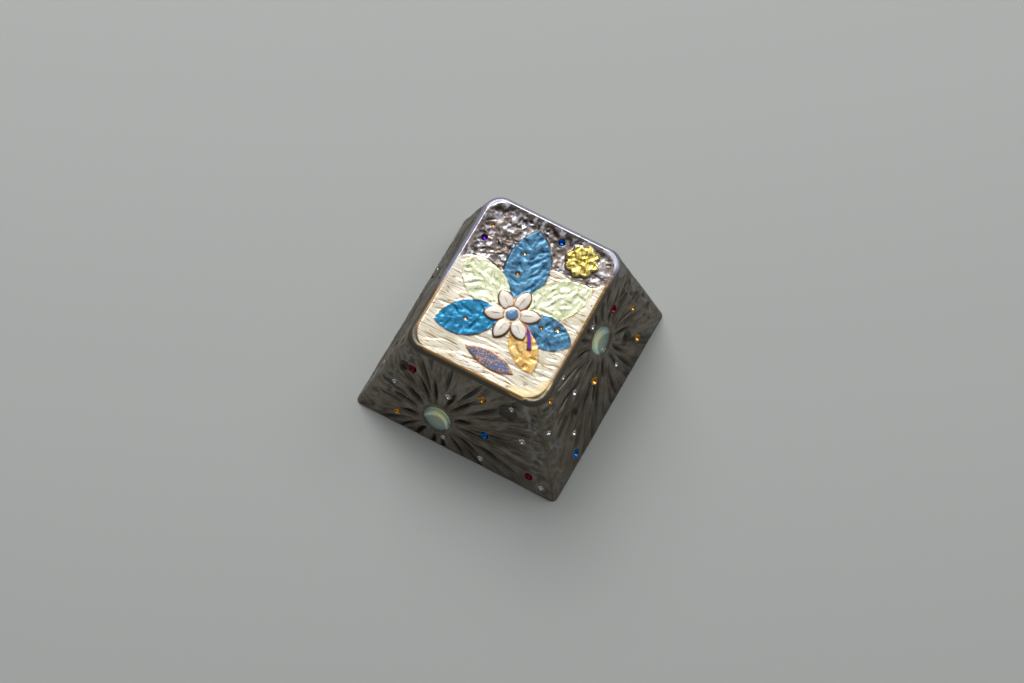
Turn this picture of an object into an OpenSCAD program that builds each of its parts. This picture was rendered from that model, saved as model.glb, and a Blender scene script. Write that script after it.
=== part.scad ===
// Sculpted metal keycap for one key, with a hollow skirt, fluted sides round four
// craters, a carved face of leaves and flowers, and a cross-socket stem in its roof.
// Millimetres. The skirt stands on z = 0, the front faces -Y and the top faces +Z.

/* [Footprint] */
// Width and depth of the skirt where it stands
base_w = 18.1; // [17.6:0.1:18.4]
// Width of the face, half way back
top_w = 12; // [11.4:0.1:12.6]
// Depth of the face, front to back
top_d = 14.2; // [13.8:0.1:14.4]
// How far the back edge of the face is set in from that of the skirt
back_in = 0.1; // [0:0.05:0.6]
// Height of the front edge of the face
front_h = 8.15; // [7.8:0.05:8.6]
// Height of the back edge of the face
back_h = 8.65; // [8.2:0.05:9.2]
// Corner radius of the skirt where it stands
base_r = 0.45; // [0.3:0.05:1]
// Corner radius of the face
top_r = 1.5; // [1.2:0.1:2.2]
// Width of the polished bevel round the face
bevel = 0.3; // [0.2:0.05:0.4]

/* [Shell] */
// Thickness of the side walls
wall = 1.25; // [1.1:0.05:1.4]
// Height of the underside of the roof
roof_z = 5.6; // [5.3:0.1:5.8]
// Corner radius inside the skirt
inner_r = 0.9; // [0.5:0.1:1.4]

/* [Stem] */
// Diameter of the stem post
post_d = 5.5; // [5.3:0.05:5.7]
// Height of the post's open end above the bottom of the skirt
post_inset = 0.8; // [0.4:0.1:1.4]
// Length of both arms of the cross socket
cross_l = 4.1; // [4:0.01:4.2]
// Width of the arm that runs front to back
cross_a = 1.31; // [1.25:0.01:1.4]
// Width of the arm that runs left to right
cross_b = 1.17; // [1.1:0.01:1.3]
// Depth of the cross socket
cross_depth = 4; // [3.6:0.1:4.4]
// Lead-in chamfer round the post's open end
post_chamfer = 0.25; // [0.1:0.05:0.4]
// Side of the square flange that holds the stem in the roof
flange_w = 7.6; // [7:0.1:8]
// Thickness of the flange
flange_t = 1.2; // [1:0.1:1.3]

/* [Craters] */
// Radius of each crater's bowl
bowl_r = 1.15; // [0.9:0.05:1.25]
// Depth of each crater's bowl below its lip
bowl_depth = 0.5; // [0.35:0.05:0.6]
// Width of the sloping lip round the bowl
lip_w = 0.28; // [0.2:0.02:0.34]
// Height of the sloping lip
lip_h = 0.1; // [0.05:0.01:0.14]

/* [Flutes] */
// Flutes that start at each crater
flute_count = 30; // [24:1:34]
// Width of a flute at its widest
flute_w = 0.46; // [0.3:0.01:0.5]
// Depth of a flute
flute_d = 0.26; // [0.15:0.01:0.3]
// How far from the crater the outer flutes start, in the gaps between the others
outer_from = 4.3; // [3.8:0.1:5]
// Width of an outer flute at its widest
outer_w = 0.6; // [0.4:0.02:0.7]
// Depth of an outer flute
outer_d = 0.22; // [0.12:0.01:0.26]
// Radius of the pits beside the upright edges
pit_r = 0.32; // [0.24:0.02:0.4]
// Depth of those pits
pit_depth = 0.17; // [0.1:0.01:0.2]
// Distance from one pit to the next up the edge
pit_pitch = 0.84; // [0.8:0.02:1]
// Bare margin between the flutes and the edges of a side
margin = 0.35; // [0.25:0.05:0.6]

/* [Dimples] */
// Depth of a coloured dimple as a share of its radius
dimple_bowl = 0.7; // [0.5:0.05:0.9]
// Depth of a wide plain dish
dish_depth = 0.2; // [0.1:0.02:0.26]

/* [Face] */
// Depth of the dark hammered ground below the face
dark_depth = 0.2; // [0.1:0.05:0.3]
// Depth of the pale streaked ground below the face
pale_depth = 0.1; // [0.05:0.05:0.15]
// Height that the petals stand above the face
petal_rise = 0.08; // [0.04:0.02:0.12]
// Bare rim between the bevel and the carved ground
rim = 0.2; // [0.15:0.05:0.3]
// Depth of the chips cut across the leaves
chip_d = 0.1; // [0.05:0.01:0.12]
// Width of those chips
chip_w = 0.42; // [0.3:0.02:0.5]
// Radius of the hammer marks in the dark ground
mark_r = 0.36; // [0.3:0.02:0.4]
// Depth of the hammer marks
mark_depth = 0.09; // [0.05:0.01:0.1]

/* [Hidden] */
fine = 32;
skin = 0.01;
over = 0.4;

mid_h = (front_h + back_h) / 2;
slope = (back_h - front_h) / top_d;
side_run = (base_w - top_w) / 2 / mid_h;
front_run = (base_w - back_in - top_d) / front_h;
back_run = back_in / back_h;
top_shift = (base_w - top_d) / 2 - back_in;

// Edges of the tapered body at height z
function half_w(z) = base_w / 2 - z * side_run;
function y_front(z) = -base_w / 2 + z * front_run;
function y_back(z) = base_w / 2 - z * back_run;
function corner_r(z) = base_r + (top_r - base_r) * z / mid_h;

// Each side: turn about Z, lean in degrees, left and right limits at the foot with
// their change for each millimetre up the slope, and the crater's place on the slope
function lean(run) = atan(run);
function up(run) = cos(lean(run));
FRONT = [0, front_run, -base_w / 2, side_run, -2, 2.65];
RIGHT = [90, side_run, -base_w / 2, front_run, 2.8, 6.1];
BACK = [180, back_run, -base_w / 2, side_run, 1.6, 3.6];
LEFT = [270, side_run, -base_w / 2, back_run, -1.8, 5];
function far_run(side) = side == RIGHT ? back_run : side == LEFT ? front_run : side_run;
function slope_h(side) = (side == BACK ? back_h : front_h) / up(side[1]);

// Dimples on each side: along the side, up the slope, radius, colour and, for the one
// that lies in a dish, how far below the side it starts
FRONT_DIMPLES = [
    [-4.8, 6.6, 0.36, "darkred"], [-6.1, 4.3, 0.24, "silver"], [-1.5, 5.5, 0.26, "silver"],
    [1.25, 7, 0.34, "goldenrod"], [3.7, 7.35, 0.24, "silver", 0.15], [-5.4, 1.3, 0.3, "goldenrod"],
    [-1.2, 1, 0.24, "silver"], [2.1, 3.3, 0.34, "royalblue"], [5.2, 4.8, 0.28, "silver"],
    [2.2, 0.75, 0.24, "silver"], [6.4, 1.4, 0.34, "darkred"], [7.6, 0.9, 0.24, "silver"]];
RIGHT_DIMPLES = [
    [5.3, 6.8, 0.34, "darkred"], [6.9, 4.4, 0.24, "goldenrod"], [2.85, 8.1, 0.2, "silver"],
    [5.8, 1.5, 0.34, "goldenrod"], [2.8, 2.3, 0.22, "silver"], [0.3, 3.9, 0.36, "goldenrod"],
    [-1.8, 5.6, 0.26, "silver"], [-1.9, 8.2, 0.2, "silver"], [-4, 8, 0.3, "goldenrod"],
    [-5.7, 5.8, 0.22, "silver"], [-3.9, 2.7, 0.24, "silver"], [-4.85, 1, 0.34, "royalblue"]];
BACK_DIMPLES = [
    [-5.6, 6.4, 0.34, "royalblue"], [-3.2, 3, 0.24, "silver"], [-0.8, 7, 0.3, "goldenrod"],
    [4.3, 6.3, 0.24, "silver"], [5.4, 2.2, 0.34, "darkred"], [-6.2, 1.3, 0.3, "goldenrod"],
    [1.4, 0.9, 0.24, "silver"], [-1.9, 5, 0.24, "silver"]];
LEFT_DIMPLES = [
    [-5.2, 5.8, 0.34, "goldenrod"], [-3.6, 1.5, 0.24, "silver"], [0.6, 7.6, 0.26, "silver"],
    [1.6, 3, 0.34, "royalblue"], [3.8, 6.2, 0.24, "silver"], [4.9, 1.6, 0.34, "darkred"],
    [-1, 0.9, 0.24, "silver"], [5.9, 4, 0.3, "goldenrod"]];

// Wide plain dishes: along the side, up the slope and radius
FRONT_DISHES = [[3.5, 7, 0.85], [-5.5, 6.55, 0.5]];
RIGHT_DISHES = [[4.9, 3.1, 0.6], [-2.9, 4.2, 0.5]];
BACK_DISHES = [[-4.6, 1.9, 0.7], [5.1, 4.4, 0.5]];
LEFT_DISHES = [[4.6, 5, 0.6], [-5.6, 3.4, 0.7]];

// Carved leaves: angle from the flower, length and width
flower_at = [0.4, -1.3];
leaf_gap = 0.7;
LEAVES = [
    [102, 6.6, 3.6], [46, 5.9, 3.2], [156, 5.3, 3.1],
    [-2, 4.6, 2.7], [-44, 4.4, 2.2], [210, 5.4, 3]];
pod_at = [0.6, -5.3];
pod = [4.4, 1.3, -6];
petal_count = 6;
petal_l = 1.9;
petal_w = 1.15;
eye_r = 0.72;
gold_at = [3.05, 5.1];
gold_r = 1.35;
gold_lobes = 8;
tendril = [2.6, 0.34, 75];
streak_count = 9;
mark_pitch = 0.92;

// Repeatable unevenness between -1 and 1
function uneven(i, k) = sin(i * 79 + k * 151);

// Distance from the crater along angle a to the nearest edge of the side
function reach(side, a) = let (
        c = [side[4], side[5]], u = up(side[1]), far = far_run(side),
        lo = side[2] + margin, hi = -side[2] - margin,
        t_lo = (lo + side[3] * u * c[1] - c[0]) / (cos(a) - side[3] * u * sin(a)),
        t_hi = (hi - far * u * c[1] - c[0]) / (cos(a) + far * u * sin(a)),
        t_foot = (margin - c[1]) / sin(a),
        t_head = (slope_h(side) - bevel - margin - c[1]) / sin(a))
    min([for (t = [t_lo, t_hi, t_foot, t_head]) if (t > 0) t]);

// Places its children on a side: x along it, y up the slope, z outwards
module on_side(side) {
    rotate([0, 0, side[0]])
        translate([0, -base_w / 2, 0])
            rotate([90 - lean(side[1]), 0, 0])
                children();
}

module at_crater(side) {
    on_side(side) translate([side[4], side[5], 0]) children();
}

// Places its children on the face: x to the right, y to the back, z outwards
module on_face() {
    translate([0, top_shift, mid_h]) rotate([atan(slope), 0, 0]) children();
}

// Four thin discs at the corners of the body, in the plane that cuts it at height
// z_f in front and z_b behind, moved in from its edges
module corners(z_f, z_b, inset, grow = 0) {
    fall = (z_b - z_f) / (y_back(z_b) - y_front(z_f));
    for (x = [-1, 1], end = [[z_f, 1], [z_b, -1]]) {
        r = max(corner_r(end[0]) - inset + grow, 0.2);
        z = end[0] + end[1] * (inset + r) * fall;
        y = end[1] > 0 ? y_front(end[0]) + inset + r : y_back(end[0]) - inset - r;
        translate([x * (half_w(z) - inset - r), y, z])
            rotate([atan(fall), 0, 0])
                translate([0, 0, -skin])
                    cylinder(h = skin, r = r, $fn = fine);
    }
}

module outer_body() {
    hull() {
        translate([0, 0, skin]) corners(0, 0, 0);
        corners(front_h - bevel, back_h - bevel, 0);
        corners(front_h, back_h, bevel);
    }
}

// Hollow under the roof, with the same taper as the outside
module hollow() {
    thick = wall / up(side_run);
    hull() {
        translate([0, 0, -over]) corners(0, 0, thick - over * side_run, thick + inner_r - base_r);
        corners(roof_z, roof_z, thick);
    }
}

// Shallow gouge along +x, pointed at both ends, deepest a little past its middle
module gouge(length, width, depth) {
    stations = [[0.25, 0.75], [0.6, 1], [0.85, 0.65]];
    lid = 0.15;
    points = concat(
        [[0, 0, 0], [0, 0, lid]],
        [for (s = stations, p = [[-1, lid], [-1, 0], [-0.45, -0.85], [0.45, -0.85], [1, 0], [1, lid]])
            [s[0] * length, p[0] * s[1] * width / 2, p[1] > 0 ? lid : p[1] * s[1] * depth]],
        [[length, 0, 0], [length, 0, lid]]);
    last = len(points) - 2;
    function ring(k) = [for (j = [0:5]) 2 + 6 * k + j];
    faces = concat(
        [[0, 1, ring(0)[0], ring(0)[1]], [1, 0, ring(0)[4], ring(0)[5]], [1, ring(0)[5], ring(0)[0]]],
        [for (j = [1:3]) [0, ring(0)[j], ring(0)[j + 1]]],
        [for (k = [0:1], j = [0:5])
            [ring(k)[(j + 1) % 6], ring(k)[j], ring(k + 1)[j], ring(k + 1)[(j + 1) % 6]]],
        [[last + 1, last, ring(2)[1], ring(2)[0]], [last, last + 1, ring(2)[5], ring(2)[4]],
         [last + 1, ring(2)[0], ring(2)[5]]],
        [for (j = [1:3]) [last, ring(2)[j + 1], ring(2)[j]]]);
    polyhedron(points, faces);
}

// Flutes that run out from a crater like rays, long and short in turn
module flutes(side) {
    start = bowl_r + lip_w - 0.12;
    at_crater(side)
        for (i = [0:flute_count - 1]) {
            a = (i + 0.25 * uneven(i, 1)) * 360 / flute_count + 3;
            room = reach(side, a);
            from = i % 2 == 0 ? start : start + 1 + 0.3 * uneven(i, 2);
            to = min(room, i % 2 == 0 ? from + 3.2 + uneven(i, 3) : from + 5.5);
            if (to - from > 0.6)
                rotate([0, 0, a])
                    translate([from, 0, 0])
                        gouge(to - from, flute_w * (1 + 0.15 * uneven(i, 4)), flute_d);
        }
}

// Wider flutes further out, between the first ones and in two lengths
module outer_flutes(side) {
    at_crater(side)
        for (i = [0:flute_count - 1]) {
            a = (i + 0.5 + 0.2 * uneven(i, 5)) * 360 / flute_count + 3;
            room = reach(side, a);
            from = outer_from + (i % 2 == 0 ? 0 : 1.1) + 0.5 * uneven(i, 6);
            to = min(room, from + 4.6 + uneven(i, 7));
            if (to - from > 0.9)
                rotate([0, 0, a])
                    translate([from, 0, 0])
                        gouge(to - from, outer_w * (1 + 0.15 * uneven(i, 8)), outer_d);
        }
}

// Uneven rows of pits beside both upright edges of a side
module pits(side) {
    u = up(side[1]);
    on_side(side)
        for (k = [0:floor((slope_h(side) - 1.6) / pit_pitch)], end = [-1, 1]) {
            y = 0.8 + k * pit_pitch;
            run = end < 0 ? side[3] : far_run(side);
            inset = 1.2 + 0.45 * uneven(k + 3 * end, side[4]);
            size = 1 + 0.2 * uneven(k, 9 + end);
            translate([end * (base_w / 2 - run * u * y - inset), y, 0])
                bowl(pit_r * size, pit_depth * size);
        }
}

// Ball-shaped bowl with a sloping lip
module crater(side) {
    flare = lip_w / lip_h;
    at_crater(side)
        translate([0, 0, -lip_h]) {
            bowl(bowl_r, bowl_depth);
            cylinder(h = lip_h + over, r1 = bowl_r, r2 = bowl_r + flare * (lip_h + over), $fn = 2 * fine);
        }
}

// Ball that cuts a round hollow of opening radius r and the given depth
module bowl(r, depth) {
    ball = (r * r + depth * depth) / (2 * depth);
    translate([0, 0, ball - depth]) sphere(r = ball, $fn = 2 * fine);
}

module dimples(side, list) {
    on_side(side)
        for (d = list)
            translate([d[0], d[1], len(d) > 4 ? -d[4] : 0]) color(d[3]) bowl(d[2], d[2] * dimple_bowl);
}

module dishes(side, list) {
    on_side(side)
        for (d = list)
            translate([d[0], d[1], 0]) bowl(d[2], dish_depth);
}

// Leaf outline between two arcs, with its stalk end at the origin, along +x
module leaf(length, width) {
    arc_r = (length * length + width * width) / (4 * width);
    translate([length / 2, 0])
        intersection() {
            translate([0, arc_r - width / 2]) circle(r = arc_r, $fn = 96);
            translate([0, width / 2 - arc_r]) circle(r = arc_r, $fn = 96);
        }
}

module leaves() {
    translate(flower_at)
        for (l = LEAVES)
            rotate(l[0]) translate([leaf_gap, 0]) leaf(l[1], l[2]);
}

module pod_outline() {
    translate(pod_at) rotate(pod[2]) translate([-pod[0] / 2, 0]) leaf(pod[0], pod[1]);
}

module petals() {
    translate(flower_at) {
        for (k = [0:petal_count - 1])
            rotate(k * 360 / petal_count + 20) translate([eye_r / 2, 0]) leaf(petal_l, petal_w);
        circle(r = eye_r, $fn = fine);
    }
}

// Curved tendril that leaves the flower to the right
module tendril_outline() {
    r = tendril[0];
    translate([flower_at[0], flower_at[1] - r])
        intersection() {
            difference() {
                circle(r = r + tendril[1] / 2, $fn = 96);
                circle(r = r - tendril[1] / 2, $fn = 96);
            }
            polygon([[0, 0], [0, 2 * r], [2 * r, 2 * r], [2 * r * sin(tendril[2]), 2 * r * cos(tendril[2])]]);
        }
}

module gold_flower() {
    translate(gold_at) {
        circle(r = gold_r * 0.8, $fn = fine);
        for (k = [0:gold_lobes - 1])
            rotate(k * 360 / gold_lobes) translate([gold_r * 0.72, 0]) circle(r = gold_r * 0.3, $fn = fine);
    }
}

// Face outline inside the bare rim, with round corners
module field() {
    w = top_w - 2 * (bevel + rim) - 0.2;
    d = top_d - 2 * (bevel + rim);
    r = top_r - bevel - rim;
    square([w - 2 * r, d], center = true);
    square([w, d - 2 * r], center = true);
    for (x = [-1, 1], y = [-1, 1])
        translate([x * (w / 2 - r), y * (d / 2 - r)]) circle(r = r, $fn = fine);
}

// Line between the two grounds, from left to right
function ground_line(x) = 2.6 + 0.28 * x + 0.45 * sin(62 * x);
module dark_half() {
    w = top_w / 2;
    polygon(concat([for (x = [-w:0.75:w]) [x, ground_line(x)]], [[w, top_d], [-w, top_d]]));
}

// The ground that is cut down round everything that stands on it
module dark_ground() {
    difference() {
        intersection() {
            field();
            dark_half();
        }
        leaves();
        gold_flower();
    }
}

module pale_ground() {
    difference() {
        field();
        dark_half();
        leaves();
        pod_outline();
        petals();
        tendril_outline();
    }
}

// Whether point p lies on leaf l or within m of it
function on_leaf(p, l, m) = let (
        d = p - flower_at,
        u = d * [cos(l[0]), sin(l[0])] - leaf_gap,
        v = d * [-sin(l[0]), cos(l[0])])
    u > -m && u < l[1] + m && abs(v) < m + l[2] / 2 * (1 - pow(2 * u / l[1] - 1, 2));
function clear(p, m) = norm(p - gold_at) > gold_r + m && len([for (l = LEAVES) if (on_leaf(p, l, m)) 1]) == 0;

// Hammer marks in rows over the dark ground, wherever one has room
module hammer_marks() {
    half = [top_w / 2 - bevel - rim - mark_r, top_d / 2 - bevel - rim - mark_r];
    cols = floor(half[0] / mark_pitch);
    for (i = [-cols:cols], j = [0:4]) {
        x = i * mark_pitch + 0.3 * uneven(i, j);
        y = half[1] - 0.2 - j * mark_pitch + 0.25 * uneven(j, i);
        if (abs(x) < half[0] && y < half[1] && y > ground_line(x) + mark_r && clear([x, y], mark_r + 0.2))
            translate([x, y, -dark_depth]) bowl(mark_r, mark_depth);
    }
}

// Dents in the gold flower, one in its middle and the others in a ring
module gold_dents() {
    translate(concat(gold_at, 0)) {
        bowl(mark_r, mark_depth);
        for (k = [0:5])
            rotate([0, 0, 60 * k + 12 * uneven(k, 1)])
                translate([0.56 * gold_r, 0, 0])
                    bowl(mark_r * (0.9 + 0.1 * uneven(k, 2)), mark_depth);
    }
}

// Slanted chips in two rows along each leaf
module leaf_chips() {
    translate(concat(flower_at, 0))
        for (l = LEAVES, k = [0:2 * floor(l[1] / 1.15) - 1]) {
            row = k % 2 == 0 ? 1 : -1;
            u = 1.1 + 0.52 * k;
            half = l[2] / 2 * (1 - pow(2 * u / l[1] - 1, 2));
            if (half > 0.45)
                rotate([0, 0, l[0]])
                    translate([leaf_gap + u - 0.3, row * 0.1, 0])
                        rotate([0, 0, row * (55 + 9 * uneven(k, l[1]))])
                            gouge(min(1.15 * half, 1.5), chip_w, chip_d);
        }
}

// Long streaks over the pale ground in front of the flower
function on_pod(p) = abs(p[0] - pod_at[0]) < pod[0] / 2 + 0.2 && abs(p[1] - pod_at[1]) < pod[1] / 2 + 0.2;
function bare(p) = clear(p, 0.15) && !on_pod(p);
module streaks() {
    for (k = [0:streak_count - 1]) {
        y = -6.15 + 0.34 * k + 0.08 * uneven(k, 2);
        length = 2.2 + 0.8 * uneven(k, 3);
        x = (k % 2 == 0 ? -4.3 : 2.6) + 0.5 * uneven(k, 5) - length / 4;
        if (bare([x, y]) && bare([x + length, y]))
            translate([x, y, -pale_depth]) rotate([0, 0, 4 + 5 * uneven(k, 1)]) gouge(length, 0.16, 0.07);
    }
}

module cap_body() {
    color("dimgray")
        difference() {
            union() {
                outer_body();
                on_face() translate([0, 0, -dark_depth]) linear_extrude(dark_depth + petal_rise) petals();
            }
            hollow();
            translate([-flange_w / 2, -flange_w / 2, roof_z - skin])
                cube([flange_w, flange_w, flange_t + skin]);
            for (side = [FRONT, RIGHT, BACK, LEFT]) {
                flutes(side);
                outer_flutes(side);
                pits(side);
                crater(side);
            }
            dimples(FRONT, FRONT_DIMPLES);
            dimples(RIGHT, RIGHT_DIMPLES);
            dimples(BACK, BACK_DIMPLES);
            dimples(LEFT, LEFT_DIMPLES);
            dishes(FRONT, FRONT_DISHES);
            dishes(RIGHT, RIGHT_DISHES);
            dishes(BACK, BACK_DISHES);
            dishes(LEFT, LEFT_DISHES);
            on_face() {
                translate([0, 0, -dark_depth]) linear_extrude(dark_depth + over) dark_ground();
                translate([0, 0, -pale_depth]) linear_extrude(pale_depth + over) pale_ground();
                hammer_marks();
                gold_dents();
                leaf_chips();
                streaks();
            }
        }
}

// Round post with a cross socket in its open end and a square flange in the roof
module stem_socket() {
    color("ivory")
        difference() {
            union() {
                translate([0, 0, post_inset])
                    cylinder(h = post_chamfer, d1 = post_d - 2 * post_chamfer, d2 = post_d, $fn = 64);
                translate([0, 0, post_inset + post_chamfer])
                    cylinder(h = roof_z - post_inset - post_chamfer + skin, d = post_d, $fn = 64);
                translate([-flange_w / 2, -flange_w / 2, roof_z]) cube([flange_w, flange_w, flange_t]);
            }
            translate([0, 0, post_inset + cross_depth / 2 - over / 2]) {
                cube([cross_a, cross_l, cross_depth + over], center = true);
                cube([cross_l, cross_b, cross_depth + over], center = true);
            }
        }
}

cap_body();
stem_socket();
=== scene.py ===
"""Dresses the keycap: one carved metal body, its moulded stem, a plain floor, soft lights, a camera."""
import math

import bpy
import numpy as np
from mathutils import Matrix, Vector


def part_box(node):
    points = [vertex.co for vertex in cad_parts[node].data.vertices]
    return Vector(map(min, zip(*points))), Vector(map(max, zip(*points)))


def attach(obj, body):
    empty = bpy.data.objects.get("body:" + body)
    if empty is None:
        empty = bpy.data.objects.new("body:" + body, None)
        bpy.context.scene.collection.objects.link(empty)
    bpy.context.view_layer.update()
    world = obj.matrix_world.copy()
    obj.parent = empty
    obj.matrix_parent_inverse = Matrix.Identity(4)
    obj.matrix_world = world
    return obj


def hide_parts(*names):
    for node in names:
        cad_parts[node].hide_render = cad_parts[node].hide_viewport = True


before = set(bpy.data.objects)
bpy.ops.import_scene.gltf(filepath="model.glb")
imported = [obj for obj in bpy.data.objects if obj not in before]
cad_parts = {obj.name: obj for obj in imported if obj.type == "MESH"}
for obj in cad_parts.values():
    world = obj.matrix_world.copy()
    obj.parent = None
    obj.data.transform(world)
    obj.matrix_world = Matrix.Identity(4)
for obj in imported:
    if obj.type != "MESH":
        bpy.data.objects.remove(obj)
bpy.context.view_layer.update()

# Sizes of the cap in millimetres, the foot and the height from the frame
MM = 0.001
LOW, HIGH = (np.array(corner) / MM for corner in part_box("cap_body"))
BASE = HIGH[0] - LOW[0]
BACK_H = HIGH[2]
FRONT_H = 8.15
TOP_W = 12.0
TOP_D = 14.2
TOP_SHIFT = 1.85
BASE_R = 0.45
TOP_R = 1.5
BEVEL = 0.3
FACE_R = 1.65
RIM = 0.2
WALL = 1.25
ROOF_Z = 5.6
INNER_R = 0.9
FLANGE = 7.6
FLANGE_T = 1.2
MID_H = (FRONT_H + BACK_H) / 2
SLOPE = (BACK_H - FRONT_H) / TOP_D
SIDE_RUN = (BASE - TOP_W) / 2 / MID_H
FRONT_RUN = (BASE / 2 + TOP_SHIFT - TOP_D / 2) / FRONT_H
BACK_RUN = (BASE / 2 - TOP_SHIFT - TOP_D / 2) / BACK_H
RUNS = np.array([FRONT_RUN, SIDE_RUN, BACK_RUN, SIDE_RUN])

# Cells of the mesh along the front and along the right side, and up a side
NX = 140
NY = 164
N_UP = 98
FRONT, RIGHT, BACK, LEFT = range(4)

# Craters: place on each side (along it, up its slope), bowl and lip
CRATERS = {FRONT: (-2.0, 2.65), RIGHT: (2.8, 6.1), BACK: (1.6, 3.6), LEFT: (-1.8, 5.0)}
BOWL_R = 1.15
BOWL_DEPTH = 0.5
LIP_W = 0.28
LIP_H = 0.1
FLUTES = 30
FLUTE_W = 0.46
FLUTE_D = 0.26
OUTER_FROM = 4.3
OUTER_W = 0.6
OUTER_D = 0.22
FINE_BANDS = [  # count, start, its spread, length, width and depth
    (34, 1.45, 0.5, 1.5, 0.20, 0.13), (60, 2.3, 1.0, 2.2, 0.24, 0.13), (84, 3.8, 1.6, 2.8, 0.32, 0.14),
    (110, 5.8, 2.4, 3.2, 0.36, 0.14), (110, 8.6, 3.0, 3.4, 0.42, 0.14)]
PIT_R = 0.32
PIT_DEPTH = 0.17
PIT_PITCH = 0.84

# Dimples on each side: along it, up its slope, radius and finish
DIMPLES = {
    FRONT: [(-4.8, 6.6, 0.36, "red"), (-6.1, 4.3, 0.24, "silver"), (-1.5, 5.5, 0.26, "silver"),
            (1.25, 7.0, 0.34, "gold"), (3.7, 7.35, 0.24, "silver"), (-5.4, 1.3, 0.3, "gold"),
            (-1.2, 1.0, 0.24, "silver"), (2.1, 3.3, 0.34, "blue"), (5.2, 4.8, 0.28, "silver"),
            (2.2, 0.75, 0.24, "silver"), (6.4, 1.4, 0.34, "red"), (7.6, 0.9, 0.24, "silver")],
    RIGHT: [(5.3, 6.8, 0.34, "red"), (6.9, 4.4, 0.24, "gold"), (2.85, 8.1, 0.2, "silver"),
            (5.8, 1.5, 0.34, "gold"), (2.8, 2.3, 0.22, "silver"), (0.3, 3.9, 0.36, "gold"),
            (-1.8, 5.6, 0.26, "silver"), (-1.9, 8.2, 0.2, "silver"), (-4.0, 8.0, 0.3, "gold"),
            (-5.7, 5.8, 0.22, "silver"), (-3.9, 2.7, 0.24, "silver"), (-4.85, 1.0, 0.34, "blue")],
    BACK: [(-5.6, 6.4, 0.34, "blue"), (-3.2, 3.0, 0.24, "silver"), (-0.8, 7.0, 0.3, "gold"),
           (4.3, 6.3, 0.24, "silver"), (5.4, 2.2, 0.34, "red"), (-6.2, 1.3, 0.3, "gold"),
           (1.4, 0.9, 0.24, "silver"), (-1.9, 5.0, 0.24, "silver")],
    LEFT: [(-5.2, 5.8, 0.34, "gold"), (-3.6, 1.5, 0.24, "silver"), (0.6, 7.6, 0.26, "silver"),
           (1.6, 3.0, 0.34, "blue"), (3.8, 6.2, 0.24, "silver"), (4.9, 1.6, 0.34, "red"),
           (-1.0, 0.9, 0.24, "silver"), (5.9, 4.0, 0.3, "gold")]}
DIMPLE_BOWL = 0.7
DISHES = {FRONT: [(3.5, 7.0, 0.85), (-5.5, 6.55, 0.5)], RIGHT: [(4.9, 3.1, 0.6), (-2.9, 4.2, 0.5)],
          BACK: [(-4.6, 1.9, 0.7), (5.1, 4.4, 0.5)], LEFT: [(4.6, 5.0, 0.6), (-5.6, 3.4, 0.7)]}
DISH_DEPTH = 0.2

# Numbers stored with each vertex for the shader
SHADER_VALUES = ("dot_x", "dot_y", "dot_kind", "dot_gap", "ray_x", "ray_y", "crater", "groove", "vein")
FAR = 9.0  # a distance past every edge

# The face: leaves as (angle, length, width, finish) round a flower, and what lies between
FLOWER = (0.4, -1.3)
LEAF_GAP = 0.7
LEAVES = [(102, 6.6, 3.6, "steel_blue"), (46, 5.9, 3.2, "pale"), (156, 5.3, 3.1, "pale"),
          (-2, 4.6, 2.7, "steel_blue"), (-44, 4.4, 2.2, "orange"), (210, 5.4, 3.0, "sky_blue")]
POD = (0.6, -5.3, 4.4, 1.3, -6)
PETALS = 6
PETAL = (1.9, 1.15)
EYE_R = 0.72
GOLD = (3.05, 5.1, 1.35)
GOLD_LOBES = 8
TENDRIL = (2.6, 0.34, 75)
DARK_DEPTH = 0.2
PALE_DEPTH = 0.1
PETAL_RISE = 0.08
CHIP_W = 0.42
CHIP_D = 0.1
MARK_R = 0.36
MARK_DEPTH = 0.09
MARK_PITCH = 0.92
FACE_DOTS = [(-4.7, 3.4, 0.26, "purple"), (0.9, 5.75, 0.28, "blue"), (-0.9, 1.9, 0.2, "gold"),
             (-1.2, 3.6, 0.17, "cream"), (4.1, -0.75, 0.24, "cream"), (2.9, -1.2, 0.15, "gold"),
             (-2.7, -3.2, 0.18, "cream"), (-4.6, 4.6, 0.16, "gold")]

# Finishes of the face in the order they lie over each other: colour, a second colour that drifts
# through it, roughness, and how metallic it is
FINISHES = {
    "night": ((0.20, 0.168, 0.15), (0.095, 0.076, 0.066), 0.29, 1.0),
    "cream": ((0.88, 0.83, 0.70), (0.72, 0.66, 0.52), 0.24, 0.55),
    "pale": ((0.90, 0.90, 0.64), (0.68, 0.74, 0.46), 0.25, 0.55),
    "steel_blue": ((0.085, 0.24, 0.38), (0.055, 0.17, 0.28), 0.30, 0.6),
    "sky_blue": ((0.022, 0.24, 0.42), (0.014, 0.18, 0.34), 0.28, 0.6),
    "orange": ((0.86, 0.60, 0.23), (0.74, 0.42, 0.12), 0.26, 0.6),
    "gold": ((0.78, 0.65, 0.20), (0.52, 0.40, 0.08), 0.24, 0.8),
    "slate": ((0.12, 0.16, 0.30), (0.09, 0.12, 0.22), 0.32, 0.5),
    "purple": ((0.16, 0.028, 0.34), (0.12, 0.02, 0.27), 0.28, 0.4),
    "petal": ((0.86, 0.81, 0.72), (0.76, 0.69, 0.60), 0.30, 0.25),
    "eye": ((0.12, 0.22, 0.36), (0.10, 0.19, 0.32), 0.20, 0.5),
    "bronze": ((0.50, 0.25, 0.11), (0.30, 0.13, 0.05), 0.28, 0.8)}

# Darker tones of some finishes: painted shade in their grooves and dents, and the colour of their fine lines
SHADE_AND_LINE_TONES = {"cream": (0.36, 0.21, 0.075), "pale": (0.22, 0.22, 0.07), "steel_blue": (0.006, 0.04, 0.10),
        "sky_blue": (0.004, 0.07, 0.20), "orange": (0.30, 0.10, 0.02), "gold": (0.20, 0.115, 0.01)}

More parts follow.
